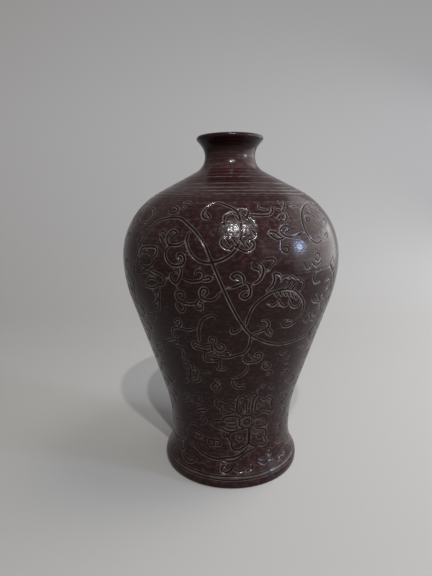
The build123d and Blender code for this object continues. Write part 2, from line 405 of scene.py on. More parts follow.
LOWER_SPRIGS = [
    [(10.2, 110.6), (9.6, 106.6), (7.6, 103.2), (5.1, 101.4), (1.6, 100.6)],
    [(1.2, 97.8), (1.9, 94.4), (4, 91.2), (6.8, 90.2), (9.6, 91)],
    [(3.2, 96), (4.2, 93.6), (6.4, 92.8), (8.4, 94)],
    [(-9.6, 86.2), (-11, 88.6), (-12.4, 91.2), (-11.2, 93.4), (-9.8, 94.8), (-8.4, 93.6), (-7.4, 91.4),
     (-8.4, 88.4), (-9.6, 86.2)],
    [(-9.8, 94.8), (-9, 98), (-7.4, 97.8), (-6.6, 95)],
    [(-40, 70.6), (-36.4, 71.8), (-32.9, 73.5), (-31.1, 76.5), (-32.3, 79.2), (-35.4, 78), (-38, 74.4)],
    [(-29.6, 73), (-24.6, 73.6), (-22.7, 77), (-23, 81), (-25.3, 82.4), (-27.4, 80)],
    [(-31.1, 60.5), (-27.5, 63.6), (-23.5, 65.4), (-19, 66.6)],
    [(-28, 66.4), (-24, 68.8), (-19.6, 69.8)],
    [(-16.4, 104), (-14.4, 105.4), (-12, 104.6)],
    [(23.6, 101.4), (25.2, 103.4), (27.2, 102.6), (26.4, 100.8), (24.4, 100.6)],
    [(35.6, 98), (37.8, 100.6), (41, 99.4), (39, 97.2), (35.6, 98)],
    [(33.5, 110.5), (36.5, 113), (39.4, 111.4), (39, 108), (36.4, 107.4)],
    [(19.6, 89), (21.6, 91.4), (23.8, 90.2), (22.4, 88.2)],
    [(28, 88.6), (29.6, 86.4), (31.8, 86.8)],
    [(44, 121), (47, 118.6), (51, 118)],
    [(29.4, 119.4), (31.6, 117.6), (34, 118.2)],
    [(42, 92), (45, 88), (49, 86.6), (52, 89), (50, 92.6), (47, 91.4)],
]
SIDE_SPRIGS = [
    [(58, 146), (55, 150), (51.5, 151.5), (49, 149), (49.5, 145.5), (52, 145)],
    [(60.5, 152), (57, 157), (53.5, 159.5), (53, 164), (56, 166.5), (59, 164), (60, 158)],
    [(62.8, 162), (59.5, 169), (56, 173), (52.5, 172), (51.5, 168.5)],
    [(64.6, 168), (62, 175), (58.5, 179), (55.5, 183.5), (57.5, 187), (60.5, 185.5), (60, 181.5)],
    [(64, 157), (66.5, 152.5), (69.5, 151), (71.5, 153.5), (70, 156.5)],
    [(60, 146), (63.5, 143), (67, 144.5), (68.5, 148.5), (66.5, 150), (64.5, 148.5)],
    [(56, 138), (60, 132), (65, 130), (69, 132.5), (69.5, 137), (66.5, 138.5)],
    [(52, 131), (54, 124), (58, 120.5), (62, 122), (62.5, 126), (59.5, 127)],
    [(68, 118), (71.5, 120.5), (74.5, 118.5), (73.5, 115), (70, 114.5), (68, 118)],
    [(56, 109), (60, 111.5), (64, 109.5), (63, 105.5), (59, 105), (56, 109)],
    [(65.5, 101), (69, 103.5), (72.5, 101.5)],
    [(57, 97), (60, 94), (64, 95), (64.5, 98)],
    [(68, 90), (71.5, 86.5), (75, 88), (74.5, 91.5)],
    [(57, 82), (61, 85), (65, 83.5), (64, 79.5), (60, 79)],
    [(69, 77), (72.5, 73.5), (76, 74.5)],
    [(58, 68), (62, 71), (66.5, 69.5), (66, 65)],
    [(60, 44), (64, 47.5), (69, 46.5), (70, 42.5), (66, 41)],
]
BIG_FLOWER = [
    [(9.4, 62.8), (6.6, 65.4), (4.8, 70), (5, 75), (5.2, 79.4), (7.2, 81.8), (9.2, 82.2), (11.2, 80.2),
     (13.4, 81.8), (16.2, 84), (18.9, 83), (18.6, 80.6), (16.9, 78), (16.6, 74), (17, 69), (16.7, 63.8)],
    [(-5.2, 64.4), (-6.9, 66.9), (-7, 70.4), (-8.9, 71.2), (-10.5, 73.6), (-10.7, 76.6), (-9.4, 78.4),
     (-6.4, 78.6), (-4, 76.8), (-1.6, 77.4), (0.8, 78.4), (4, 76.4)],
    [(-5.2, 64.4), (-2, 65.2), (1.6, 66), (4.4, 67.4)],
    [(7.8, 60.4), (3.5, 62.8), (-1.5, 62.5), (-5.2, 61.2), (-6.4, 58.8), (-9.8, 57.8), (-13.2, 57.6),
     (-15.2, 55.2), (-13.4, 52.4), (-9.5, 51.1), (-5.8, 50), (-3.3, 48.7), (1.6, 48.2), (5.9, 49),
     (9.6, 50.4)],
    [(2.4, 47.6), (-0.2, 46.6), (-1.5, 43.6), (-0.6, 40.6), (1, 38.4), (0.9, 35.2), (2.8, 32.3), (6.5, 31.6),
     (9.6, 32.7), (12.1, 34.2), (15.4, 36.2), (15.8, 42), (15.6, 49.4)],
    [(17, 49), (16.9, 43), (17, 36.4), (19.5, 34.4), (23.2, 33.2), (26, 34.2), (29.4, 32.4), (32.4, 33),
     (33.8, 36), (32, 38), (33.4, 41), (32.4, 44.6), (31.2, 46.5), (26, 48.2), (20.7, 49.6)],
    [(19.5, 51.6), (24, 50.9), (29.4, 50.2), (33.4, 51), (36.2, 54), (35.6, 58), (35, 60.7)],
    [(19.6, 61), (22.6, 62.4), (27.5, 63.8), (31, 62.6), (35, 60.7), (38.6, 61)],
    [(19.6, 66), (19.4, 72), (20.4, 77.8), (23.4, 78.4), (26.4, 75.8), (29.6, 78.2), (32.2, 76.6), (34, 74),
     (33.6, 70), (34.8, 66.4)],
    [(8.4, 75.6), (8.8, 71.6)],
    [(10.2, 73), (10.4, 68.6)],
    [(12.2, 73.4), (12.3, 68.4)],
    [(14.2, 75), (14, 70.6)],
    [(-3.6, 70), (-1.4, 68.6), (0.8, 69.2)],
    [(-0.6, 72.4), (1.6, 71.2), (3.4, 70.6)],
    [(-4.4, 73.4), (-2.6, 74.2), (-0.6, 73.6)],
    [(-5.2, 53), (-0.8, 51.2), (4.4, 51.6)],
    [(-2.4, 55), (1, 54.6), (4.8, 54.6)],
    [(-3.4, 57.4), (0.4, 58.2), (4.2, 57.8)],
    [(5.6, 43.4), (6.4, 41), (8.4, 40.4), (9.8, 42), (9, 44), (7.4, 43)],
    [(22.4, 42.6), (24.4, 41.8), (26, 39.6), (28.2, 40.2), (28.4, 42.4)],
    [(20.6, 45.4), (23.4, 45.4), (26.4, 44.4)],
    [(24.2, 57.2), (27, 56.6), (29.6, 55.2)],
    [(22.2, 68), (24.6, 67.4), (27, 68.2)],
    [(23.4, 72.4), (26, 71.4), (29, 72)],
    [(-7.2, 47.6), (-6.4, 44.8), (-4.6, 43), (-2.8, 43.8), (-3.4, 46)],
]
FOOT_SCROLL = [
    [(-40.4, 30.8), (-34, 29.3), (-29.7, 27.6), (-24.6, 25.6), (-17.2, 24), (-11, 23.8), (-5.2, 24.9),
     (3.1, 25.9), (8.7, 27.8), (12.6, 30.8), (16, 33.6)],
    [(-6.7, 22.4), (0.5, 22.4), (5.9, 23.6), (10.4, 26.5), (15, 29.2), (20, 30.4), (24, 32)],
    [(1.1, 20), (1.1, 17), (-1.3, 14.6), (-4.9, 13.8), (-7.6, 15.2), (-7.6, 17.6), (-5.5, 18.8),
     (-2.5, 16.6)],
    [(2.6, 16.4), (6.4, 14.6), (10.6, 14.9), (12, 16.6)],
    [(13.4, 14.4), (16.8, 15), (19.4, 17.6), (18, 19.2)],
    [(26.1, 18.8), (30.2, 17), (34.4, 18.8), (39.8, 18.2)],
    [(27, 21.4), (30.6, 20.6), (33.4, 21.6)],
    [(33.6, 24.4), (36.4, 26.6), (39.8, 25.6), (38.6, 22.8), (35.4, 22.6)],
    [(46, 15), (50, 17.6), (55, 16.6), (57, 19), (54, 20.6)],
    [(46, 29.4), (54, 27.6), (62, 27.8), (70, 30.2), (75, 34)],
    [(62, 24.2), (67, 21), (72, 22.6), (71, 26)],
    [(-50, 18.6), (-44, 16), (-38, 15.4), (-34, 17.4), (-36, 19.8)],
    [(-19.5, 34.9), (-19.8, 38.6), (-17.2, 39.8), (-14.9, 38.6), (-15, 35.2), (-17.4, 34.2), (-19.5, 34.9)],
    [(-14.4, 39.4), (-10.8, 39.6), (-8.5, 37.8), (-10.8, 35.2), (-14, 34.9)],
    [(-33.5, 39), (-29.3, 38.8), (-26.9, 41.2), (-28.4, 43.4), (-33, 43)],
    [(-36.4, 49.4), (-32, 50.6), (-28.1, 48.9)],
    [(-25, 52), (-21, 56), (-22.6, 59.6), (-25.6, 57.4)],
    [(42, 40), (46, 44), (51, 43.4), (52, 39.4), (48, 38)],
    [(40.4, 72), (44, 75.6), (48.6, 75), (50, 70.6), (46.4, 68), (42, 69)],
    [(44, 56), (48, 60), (53, 59.4), (55.4, 55), (52, 51.8), (48.4, 53.4)],
]

# Middle of the big flower: place, radii, lobes, steps in a lobe, depth of the scallops as a share
EYE_MIDDLE = (13.6, 56.7)
EYE_RADIUS = 6.6
EYE_RING_RADIUS = 2.2
EYE_LOBES = 8
EYE_LOBE_STEPS = 4
EYE_SCALLOP = 0.2


def flower_eye():
    """The big flower's scalloped middle and the small ring inside it."""
    degree, up = EYE_MIDDLE
    wide = degrees(1 / on_wall(up)[0])
    steps = EYE_LOBES * EYE_LOBE_STEPS
    rim, ring = [], []
    for i in range(steps + 1):
        turn = 2 * pi * i / steps
        reach = EYE_RADIUS * (1 - EYE_SCALLOP * (1 - abs(sin(turn * EYE_LOBES / 2))))
        rim.append((degree + reach * cos(turn) * wide, up + reach * sin(turn)))
        ring.append((degree + EYE_RING_RADIUS * cos(turn) * wide, up + EYE_RING_RADIUS * sin(turn)))
    return [rim, ring]


def between(before, start, stop, after, share):
    """The Catmull-Rom curve through four numbers, at a share of the way from the second to the third."""
    slope = stop - before
    square = 2 * before - 5 * start + 4 * stop - after
    cube = 3 * start - before - 3 * stop + after
    return 0.5 * (2 * start + slope * share + square * share * share + cube * share ** 3)


def smooth_line(points):
    """Points about a step apart on a smooth curve through the given ones."""
    ends = [points[0]] + points + [points[-1]]
    line = []
    for p0, p1, p2, p3 in zip(ends, ends[1:], ends[2:], ends[3:]):
        r = on_wall(p1[1])[0]
        length = hypot(radians(p2[0] - p1[0]) * r, p2[1] - p1[1])
        steps = max(1, round(length / CUT_STEP))
        for i in range(steps):
            line.append(tuple(between(*four, i / steps) for four in zip(p0, p1, p2, p3)))
    return line + [points[-1]]


def scroll_lines():
    """Every incised line of one repeat, smoothed."""
    motifs = [
        MAIN_STEM, TOP_LOOP, TOP_FLOWER, TOP_RIGHT_SPRIG, TOP_LEFT_SPRIG, LEFT_BUDS, LEFT_FLOWER,
        MIDDLE_TENDRILS, RIGHT_TREFOIL, RIGHT_LOOP, HALF_PALMETTE, STEM_SPRIGS, SMALL_FLOWER,
        LEFT_FEATHER, LOWER_SPRIGS, SIDE_SPRIGS, BIG_FLOWER, FOOT_SCROLL, flower_eye(),
    ]
    return [smooth_line(points) for motif in motifs for points in motif]


def tapered(line):
    """The line's points with how fine the cut is there, finest at the two ends."""
    last = len(line) - 1
    for i, (degree, up) in enumerate(line):
        fineness = min(1.0, FINENESS_LOW + FINENESS_RISE * up)
        yield degree, up, fineness * (1 + END_TAPER * max(0, 1 - min(i, last - i) / END_STEPS))


def beside(line):
    """Points in rows along a line and beside it, half as many in the outermost row."""
    rows = []
    outermost = len(CUT_ROWS) - 1
    for i, (degree, up) in enumerate(line):
        before, after = line[max(i - 1, 0)], line[min(i + 1, len(line) - 1)]
        wide = radians(1) * on_wall(up)[0]
        along = Vector(((after[0] - before[0]) * wide, after[1] - before[1])).normalized()
        for row, offset in enumerate(CUT_ROWS):
            if row == outermost and i % 2:
                continue
            for side in ((1,) if row == 0 else (1, -1)):
                rows.append((row, degree - side * along.y * offset / wide, up + side * along.x * offset))
    return rows


def wrapped(degree):
    """The same place round the pot within the middle repeat."""
    return (degree + EDGE) % REPEAT - EDGE


# Mesh of the vase


class Crowd:
    """Points of the flat pattern, kept apart from each other."""

    def __init__(self):
        self.points = []
        self.cells = {}

    def add(self, degree, up, gap=MIN_GAP):
        """Add a point unless another one lies closer than the gap."""
        spot = Vector((degree * FLAT_SCALE, up))
        cell = (int(spot.x // gap), int(spot.y // gap))
        near = ((cell[0] + i, cell[1] + j) for i in (-1, 0, 1) for j in (-1, 0, 1))
        if all((spot - other).length >= gap for key in near for other in self.cells.get(key, ())):
            self.cells.setdefault(cell, []).append(spot)
            self.points.append(spot)


def wall_rows():
    """Distances up the wall of the plain rows, closer at the turned rings."""
    count = ceil((WALL_TOP - GLAZE_LINE) / PLAIN_STEP)
    rows = {GLAZE_LINE + (WALL_TOP - GLAZE_LINE) * i / count for i in range(count + 1)}
    for up, _ in RINGS:
        rows = {row for row in rows if abs(row - up) > RING_CLEAR or row in (GLAZE_LINE, WALL_TOP)}
        rows |= {up + offset for offset in RING_ROWS}
    return sorted(rows)


def flat_pattern(lines, tree):
    """Triangles of one repeat of the outside, in flat coordinates, fine along the incised lines."""
    crowd = Crowd()
    rows = wall_rows()
    for up in rows:
        crowd.add(-EDGE, up, BORDER_GAP)
        crowd.add(EDGE, up, BORDER_GAP)
    for i in range(1, COLUMNS):
        crowd.add(-EDGE + i * COLUMN_STEP, GLAZE_LINE, BORDER_GAP)
        crowd.add(-EDGE + i * COLUMN_STEP, WALL_TOP, BORDER_GAP)
    beside_lines = sorted((spot for line in lines for spot in beside(line)), key=lambda spot: spot[0])
    for _, degree, up in beside_lines:
        degree = wrapped(degree)
        inside = GLAZE_LINE + BORDER_CLEAR < up < WALL_TOP - BORDER_CLEAR
        if inside and abs(degree) < EDGE - SEAM_CLEAR:
            crowd.add(degree, up)
    for up in rows[1:-1]:
        r, z, *_ = on_wall(up)
        for i in range(1, COLUMNS):
            degree = -EDGE + i * COLUMN_STEP
            if tree.find(turned(r, z, degree))[2] > CUT_ROWS[-1] + PLAIN_CLEAR:
                crowd.add(degree, up)
    verts, _, faces, *_ = delaunay_2d_cdt(crowd.points, [], [], 0, SAME_POINT)
    return verts, faces


def ring_cut(up):
    """Depth of the turned rings at a distance up the wall, and distance to the nearest one."""
    depth = sum(deep * max(0.0, 1 - ((up - at) / RING_HALF) ** 2) for at, deep in RINGS)
    return depth, min(abs(up - at) for at, _ in RINGS)


def cut_depth(distance):
    """Depth of an incised line at a distance from its middle."""
    return CUT_DEPTH * max(0.0, 1 - (distance / CUT_HALF) ** 2)


def stippled(degree, up):
    """Share of the stippling at a place, from one in the middle of the top flower to none at its edge."""
    across = (degree - STIPPLE_MIDDLE[0]) / STIPPLE_HALF[0]
    along = (up - STIPPLE_MIDDLE[1]) / STIPPLE_HALF[1]
    return max(0.0, 1 - hypot(across, along) ** 2)


def inside_line():
    """Lip, inside wall with the slip ridges, and floor's corner, with fewer points where it is plain."""
    turn = sweep(NECK, LIP, MOUTH_EASE)[0]
    lip = bend((LIP[0] - LIP_ROUND, LIP[1]), LIP_ROUND, -turn, pi - turn, LIP_STEP)
    line = []
    for i, (r, z) in enumerate(wall_line(WALL)[::-1]):
        nearest = min(abs(z - joint) for joint in SLIP_JOINTS)
        if z > SLIP_JOINTS[1] or nearest < 2 * SLIP_REACH or i % INSIDE_SKIP == 0:
            line.append((r - SLIP_PROUD * max(0.0, 1 - nearest / SLIP_REACH), z))
    corner = bend((WAIST[0] - WALL - FLOOR_ROUND, FLOOR_Z + FLOOR_ROUND), FLOOR_ROUND, 0, -pi / 2)
    return lip + line + corner


def base_line():
    """Foot edge below the glaze line, standing ring and recess."""
    glaze_z = on_wall(GLAZE_LINE)[1]
    edge = bend((FOOT[0] - FOOT_EDGE, FOOT_EDGE), FOOT_EDGE, 0, -pi / 2, BASE_STEP)
    below = [(r, z) for r, z in edge if z < glaze_z]
    across, along = RECESS_BEVEL
    return below + [(RECESS_R + across, 0), (RECESS_R, along), (RECESS_R - RECESS_TAPER, RECESS_Z)]


def cut_marks(lines):
    """Places on the incised lines with the fineness there, over one repeat and a margin on both sides."""
    marks = [(degree + shift, up, fineness)
             for line in lines for degree, up, fineness in tapered(line) for shift in (-REPEAT, 0, REPEAT)]
    return [mark for mark in marks if abs(mark[0]) < EDGE + MARK_MARGIN]


def mark_tree(marks):
    """Search tree for the mark that is nearest to a point."""
    tree = kdtree.KDTree(len(marks))
    for i, (degree, up, _) in enumerate(marks):
        r, z, *_ = on_wall(up)
        tree.insert(turned(r, z, degree), i)
    tree.balance()
    return tree


class PotMesh:
    """The pot's points and faces, with each point's distance to the nearest cut and its stippling."""

    def __init__(self):
        self.points = []
        self.cuts = []
        self.stipple = []
        self.faces = []
        self.clay_faces = []

    def add_point(self, point, cut=CUT_REACH, stipple=0.0):
        """Add a point, which is plain unless said otherwise, and give its number."""
        self.points.append(point)
        self.cuts.append(cut)
        self.stipple.append(stipple)
        return len(self.points) - 1

    def add_wall(self):
        """Add the outside with its cuts, and give the rings of points at its lower and upper end."""
        lines = scroll_lines()
        marks = cut_marks(lines)
        tree = mark_tree(marks)
        flat, flat_faces = flat_pattern(lines, tree)
        edge = EDGE * FLAT_SCALE - SAME_PLACE
        left = {round(spot.y, SAME_DIGITS): i for i, spot in enumerate(flat) if spot.x < -edge}
        own = {}
        for repeat in range(REPEATS):
            for i, spot in enumerate(flat):
                if spot.x > edge:
                    continue
                degree = spot.x / FLAT_SCALE
                r, z, nr, nz = on_wall(spot.y)
                _, mark, distance = tree.find(turned(r, z, degree))
                distance *= marks[mark][2]
                ring_depth, ring_distance = ring_cut(spot.y)
                depth = max(cut_depth(distance), ring_depth)
                point = turned(r - depth * nr, z - depth * nz, degree + repeat * REPEAT)
                cut = min(distance, ring_distance * RING_FINENESS, CUT_REACH)
                own[repeat, i] = self.add_point(point, cut, stippled(degree, spot.y))
        for repeat in range(REPEATS):
            for i, spot in enumerate(flat):
                if spot.x > edge:
                    own[repeat, i] = own[(repeat + 1) % REPEATS, left[round(spot.y, SAME_DIGITS)]]
            self.faces += [[own[repeat, i] for i in face] for face in flat_faces]
        rings = []
        for up in (GLAZE_LINE, WALL_TOP):
            found = sorted((spot.x, i) for i, spot in enumerate(flat) if abs(spot.y - up) < SAME_PLACE)
            rings.append([own[repeat, i] for repeat in range(REPEATS) for _, i in found[:-1]])
        return rings

    def add_turned(self, ring, line, is_clay, outward):
        """Add a line turned about the axis, on from a ring of points and closed in the middle."""
        first = len(self.faces)
        for r, z in line:
            fresh = [self.add_point(turned(r, z, -EDGE + i * COLUMN_STEP)) for i in range(len(ring))]
            for i in range(len(ring)):
                j = (i + 1) % len(ring)
                self.faces.append([ring[i], ring[j], fresh[j], fresh[i]])
            ring = fresh
        middle = self.add_point(Vector((0, 0, line[-1][1])))
        for i in range(len(ring)):
            self.faces.append([ring[i], ring[(i + 1) % len(ring)], middle])
        if not outward:
            self.faces[first:] = [face[::-1] for face in self.faces[first:]]
        if is_clay:
            self.clay_faces += range(first, len(self.faces))


def pot_mesh():
    """The whole pot as one closed mesh."""
    pot = PotMesh()
    foot_ring, lip_ring = pot.add_wall()
    pot.add_turned(lip_ring, inside_line()[1:], is_clay=False, outward=True)
    pot.add_turned(foot_ring, base_line(), is_clay=True, outward=False)
    return pot


# Materials


def new_material(name):
    """A new material with its node tree and shader."""
    material = bpy.data.materials.new(name)
    material.use_nodes = True
    net = material.node_tree
    return material, net, net.nodes["Principled BSDF"]


def noise(net, scale, detail, stretch=(1, 1, 1)):
    """A noise texture in the pot's own coordinates, even or stretched along the axes."""
    place = net.nodes.new("ShaderNodeTexCoord")
    mapping = net.nodes.new("ShaderNodeMapping")
    mapping.inputs["Scale"].default_value = stretch
    texture = net.nodes.new("ShaderNodeTexNoise")
    texture.inputs["Scale"].default_value = scale
    texture.inputs["Detail"].default_value = detail
    net.links.new(place.outputs["Object"], mapping.inputs["Vector"])
    net.links.new(mapping.outputs["Vector"], texture.inputs["Vector"])
    return texture.outputs["Fac"]


def along_axis(net, axis):
    """How far a point lies along one of the object's own axes, in metres."""
    place = net.nodes.new("ShaderNodeTexCoord")
    axes = net.nodes.new("ShaderNodeSeparateXYZ")
    net.links.new(place.outputs["Object"], axes.inputs["Vector"])
    return axes.outputs[axis]


def ramp(net, value, stops):
    """A colour ramp with the given (place, colour) stops."""
    node = net.nodes.new("ShaderNodeValToRGB")
    band = node.color_ramp
    stops = list(stops)
    while len(band.elements) < len(stops):
        band.elements.new(0.5)
    for element, (place, colour) in zip(band.elements, stops):
        element.position = place
        element.color = (*colour, 1)
    net.links.new(value, node.inputs["Fac"])
    return node.outputs["Color"]


def feed(net, socket, value):
    """Link a socket to another one, or set it to a fixed value."""
    if isinstance(value, bpy.types.NodeSocket):
        net.links.new(value, socket)
    else:
        socket.default_value = value


def mixed(net, kind, share, first, second):
    """A mix of two numbers or colours by a share; each is a socket or a fixed value."""
    node = net.nodes.new("ShaderNodeMix")
    node.data_type = kind
    for name, value in (("Factor", share), ("A", first), ("B", second)):
        feed(net, node.inputs[name], value)
    return node.outputs["Result"]


def maths(net, operation, first, second):
    """Two values put together by an operation."""
    node = net.nodes.new("ShaderNodeMath")
    node.operation = operation
    net.links.new(first, node.inputs[0])
    net.links.new(second, node.inputs[1])
    return node.outputs["Value"]


def bump(net, height, strength, distance):
    """A bump node over a height; the strength is a socket or a fixed value."""
    node = net.nodes.new("ShaderNodeBump")
    feed(net, node.inputs["Strength"], strength)
    node.inputs["Distance"].default_value = distance
    net.links.new(height, node.inputs["Height"])
    return node


def ranged(net, value, low, high, to_low, to_high):
    """A value carried from one range to another."""
    node = net.nodes.new("ShaderNodeMapRange")
    for name, number in (("From Min", low), ("From Max", high), ("To Min", to_low), ("To Max", to_high)):
        node.inputs[name].default_value = number
    net.links.new(value, node.inputs["Value"])
    return node.outputs["Result"]


# Glaze: tones of the thick and the thin glaze, the thin glaze's pale tone also used as painted highlight on
# the neck, and where each tone lies in the noise
GLAZE_DARK = (0.0085, 0.0024, 0.0022)
GLAZE_MID = (0.0135, 0.004, 0.0038)
GLAZE_LIGHT = (0.03, 0.0115, 0.012)
GLAZE_THIN_AND_HIGHLIGHT = (0.098, 0.056, 0.058)
TONE_PLACES = (0.34, 0.5, 0.67)

# Glaze: heights with the share of thin, paler glaze there, and the height that the ramp spans
# The share is real thin glaze near the foot and painted light above it: a lighter shoulder and a bright band
# round the neck are painted highlight, and a dark band at the neck's base and under the lip's flare is
# painted shade.
THIN_GLAZE_AND_PAINTED_LIGHT = (
    (0.0, 0.2), (0.035, 0.3), (0.06, 0.05), (0.165, 0.0), (0.205, 0.45), (0.232, 0.5), (0.24, 0.3),
    (0.248, 1.0), (0.256, 0.9), (0.26, 0.0),
)
RAMP_HEIGHT = 0.3

# Glaze: turning streaks and mottling, and the streaks' share below and above two heights
STREAK_SCALE = 1.0
STREAK_STRETCH = (10, 10, 1000)
MOTTLE_SCALE = 300.0
MOTTLE_STRETCH = (1, 1, 1.6)
TURNING_LINES = (0.205, 0.235)
STREAK_SHARES = (0.3, 0.75)

# Cuts: colours, and bands of them as shares of the farthest distance stored; the pale edges are partly thin
# glaze and partly painted highlight where the edges catch the light
CUT_BLACK = (0.002, 0.001, 0.001)
CUT_PALE_AND_HIGHLIGHT = (0.125, 0.094, 0.088)
DARK_BAND = (0.10, 0.165)
PALE_AND_HIGHLIGHT_BAND = (0.155, 0.21, 0.26, 0.37)

# Pale edges of the cuts: their wear, and how they fade towards the foot between two heights, as painted shade
# on the less lit lower body
WEAR_SCALE = 160.0
WEAR_RANGE = (0.35, 0.6)
WEAR_SHARES = (0.3, 1.0)
EDGE_SHADE_HEIGHTS = (0.06, 0.15)
EDGE_SHADE_SHARES = (0.55, 1.0)

# Glaze: gloss, and bumps of its skin and of the turning streaks
GLAZE_ROUGHNESS = 0.22
GLAZE_SPECULAR = 0.13
COAT_WEIGHT = 0.12
COAT_ROUGHNESS = 0.08
PEEL_SCALE = 330.0
PEEL_HEIGHT = 0.0005
PEEL_STRENGTHS = (0.17, 0.10)
STIPPLE_PEEL = 0.5
RIDGE_HEIGHT = 0.0003
RIDGE_STRENGTH = 0.3


def glaze_material():
    """Glossy aubergine glaze with turning streaks, thin glaze and painted light by height, dark in the cuts
    and pale along their edges, partly thin glaze and partly painted highlight.
    """
    material, net, shader = new_material("aubergine_glaze")
    height = along_axis(net, "Z")
    streaks = noise(net, STREAK_SCALE, detail=4, stretch=STREAK_STRETCH)
    mottle = noise(net, MOTTLE_SCALE, detail=6, stretch=MOTTLE_STRETCH)
    streak_share = ranged(net, height, *TURNING_LINES, *STREAK_SHARES)
    tone = mixed(net, "FLOAT", streak_share, mottle, streaks)
    thick = ramp(net, tone, zip(TONE_PLACES, (GLAZE_DARK, GLAZE_MID, GLAZE_LIGHT)))
    thin = ramp(net, tone, zip(TONE_PLACES, (GLAZE_MID, GLAZE_LIGHT, GLAZE_THIN_AND_HIGHLIGHT)))
    level = ranged(net, height, 0, RAMP_HEIGHT, 0, 1)
    # Share of the thin glaze's pale tone by height: thin glaze near the foot, painted highlight on the
    # shoulder and neck, painted shade at the neck's base and under the lip
    thin_and_painted_light_share = ramp(net, level, [(z / RAMP_HEIGHT, (share,) * 3) for z, share in THIN_GLAZE_AND_PAINTED_LIGHT])
    body = mixed(net, "RGBA", thin_and_painted_light_share, thick, thin)

    cut = net.nodes.new("ShaderNodeAttribute")
    cut.attribute_name = "cut"
    reach = ranged(net, cut.outputs["Fac"], 0, CUT_REACH, 0, 1)
    wear = noise(net, WEAR_SCALE, detail=3)
    # Pale edges of the cuts: partly thin glaze, partly painted highlight
    pale_and_highlight_band = ramp(net, reach, zip(PALE_AND_HIGHLIGHT_BAND, (BLACK, WHITE, WHITE, BLACK)))
    worn = ranged(net, wear, *WEAR_RANGE, *WEAR_SHARES)
    # Painted shade: the pale edges grow dimmer towards the foot
    lower_edge_shade = ranged(net, height, *EDGE_SHADE_HEIGHTS, *EDGE_SHADE_SHARES)
    pale_and_highlight_share = maths(net, "MULTIPLY", pale_and_highlight_band, worn)
    pale_and_highlight_share = maths(net, "MULTIPLY", pale_and_highlight_share, lower_edge_shade)
    dark_share = ramp(net, reach, zip(DARK_BAND, (WHITE, BLACK)))
    colour = mixed(net, "RGBA", pale_and_highlight_share, body, (*CUT_PALE_AND_HIGHLIGHT, 1))
    colour = mixed(net, "RGBA", dark_share, colour, (*CUT_BLACK, 1))
    net.links.new(colour, shader.inputs["Base Color"])

    shader.inputs["Roughness"].default_value = GLAZE_ROUGHNESS
    shader.inputs["Specular IOR Level"].default_value = GLAZE_SPECULAR
    shader.inputs["Coat Weight"].default_value = COAT_WEIGHT
    shader.inputs["Coat Roughness"].default_value = COAT_ROUGHNESS
    stipple = net.nodes.new("ShaderNodeAttribute")
    stipple.attribute_name = "stipple"
    plain_peel = ranged(net, height, *TURNING_LINES, *PEEL_STRENGTHS)
    strength = mixed(net, "FLOAT", stipple.outputs["Fac"], plain_peel, STIPPLE_PEEL)
    skin = noise(net, PEEL_SCALE, detail=2)
    peel = bump(net, skin, strength, PEEL_HEIGHT)
    ridges = bump(net, streaks, RIDGE_STRENGTH, RIDGE_HEIGHT)
    net.links.new(ridges.outputs["Normal"], peel.inputs["Normal"])
    net.links.new(peel.outputs["Normal"], shader.inputs["Normal"])
    net.links.new(peel.outputs["Normal"], shader.inputs["Coat Normal"])
    return material


# Bare clay of the foot and base
CLAY_DARK = (0.20, 0.15, 0.12)
CLAY_LIGHT = (0.34, 0.27, 0.22)
CLAY_PLACES = (0.3, 0.7)
CLAY_ROUGHNESS = 0.85
GRAIN_SCALE = 600.0
GRAIN_STRENGTH = 0.4
GRAIN_HEIGHT = 0.0004


def clay_material():
    """Bare fired clay of the foot and base."""
    material, net, shader = new_material("bare_clay")
    grain = noise(net, GRAIN_SCALE, detail=6)
    colour = ramp(net, grain, zip(CLAY_PLACES, (CLAY_DARK, CLAY_LIGHT)))
    net.links.new(colour, shader.inputs["Base Color"])
    shader.inputs["Roughness"].default_value = CLAY_ROUGHNESS
    grain_bump = bump(net, grain, GRAIN_STRENGTH, GRAIN_HEIGHT)
    net.links.new(grain_bump.outputs["Normal"], shader.inputs["Normal"])
    return material


# Vase

# Edges that bend by more degrees than this stay sharp
SHARP_ANGLE = 62


def new_object(name, data):
    """A new object in the scene."""
    thing = bpy.data.objects.new(name, data)
    bpy.context.scene.collection.objects.link(thing)
    return thing


def make_vase():
    """The dressed vase, which stands for all five solids."""
    pot = pot_mesh()
    mesh = bpy.data.meshes.new("vase")
    mesh.from_pydata([point * MM for point in pot.points], [], pot.faces)
    mesh.attributes.new("cut", "FLOAT", "POINT").data.foreach_set("value", pot.cuts)
    mesh.attributes.new("stipple", "FLOAT", "POINT").data.foreach_set("value", pot.stipple)
    mesh.shade_smooth()
    mesh.set_sharp_from_angle(angle=radians(SHARP_ANGLE))
    vase = new_object("incised_vase", mesh)
    mesh.materials.append(glaze_material())
    mesh.materials.append(clay_material())
    for i in pot.clay_faces:
        mesh.polygons[i].material_index = 1
    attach(vase, "root")
    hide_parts("lower_section", "shoulder_section", "neck_section",
                "body_slip_joint", "neck_slip_joint")


# Floor, light and camera

# Floor and backdrop: half width, front edge, the bend's start, radius and steps, slope and length behind it
FLOOR_HALF = 3.0
FLOOR_FRONT = -3.0
BACKDROP_START = 0.45
BACKDROP_BEND = 0.9
BACKDROP_STEPS = 24
BACKDROP_SLOPE = radians(60)
BACKDROP_RUN = 3.0

# Greys of the floor and the backdrop, the backdrop's lighter grey being painted light for the lamps' light
# that falls off on it, and where one turns into the other
FLOOR_GREY = (0.36, 0.35, 0.337)
BACKDROP_PAINTED_LIGHT_GREY = (0.455, 0.442, 0.43)
BACKDROP_REACH = (0.3, 1.3)
FLOOR_ROUGHNESS = 0.9
FLOOR_SPECULAR = 0.1


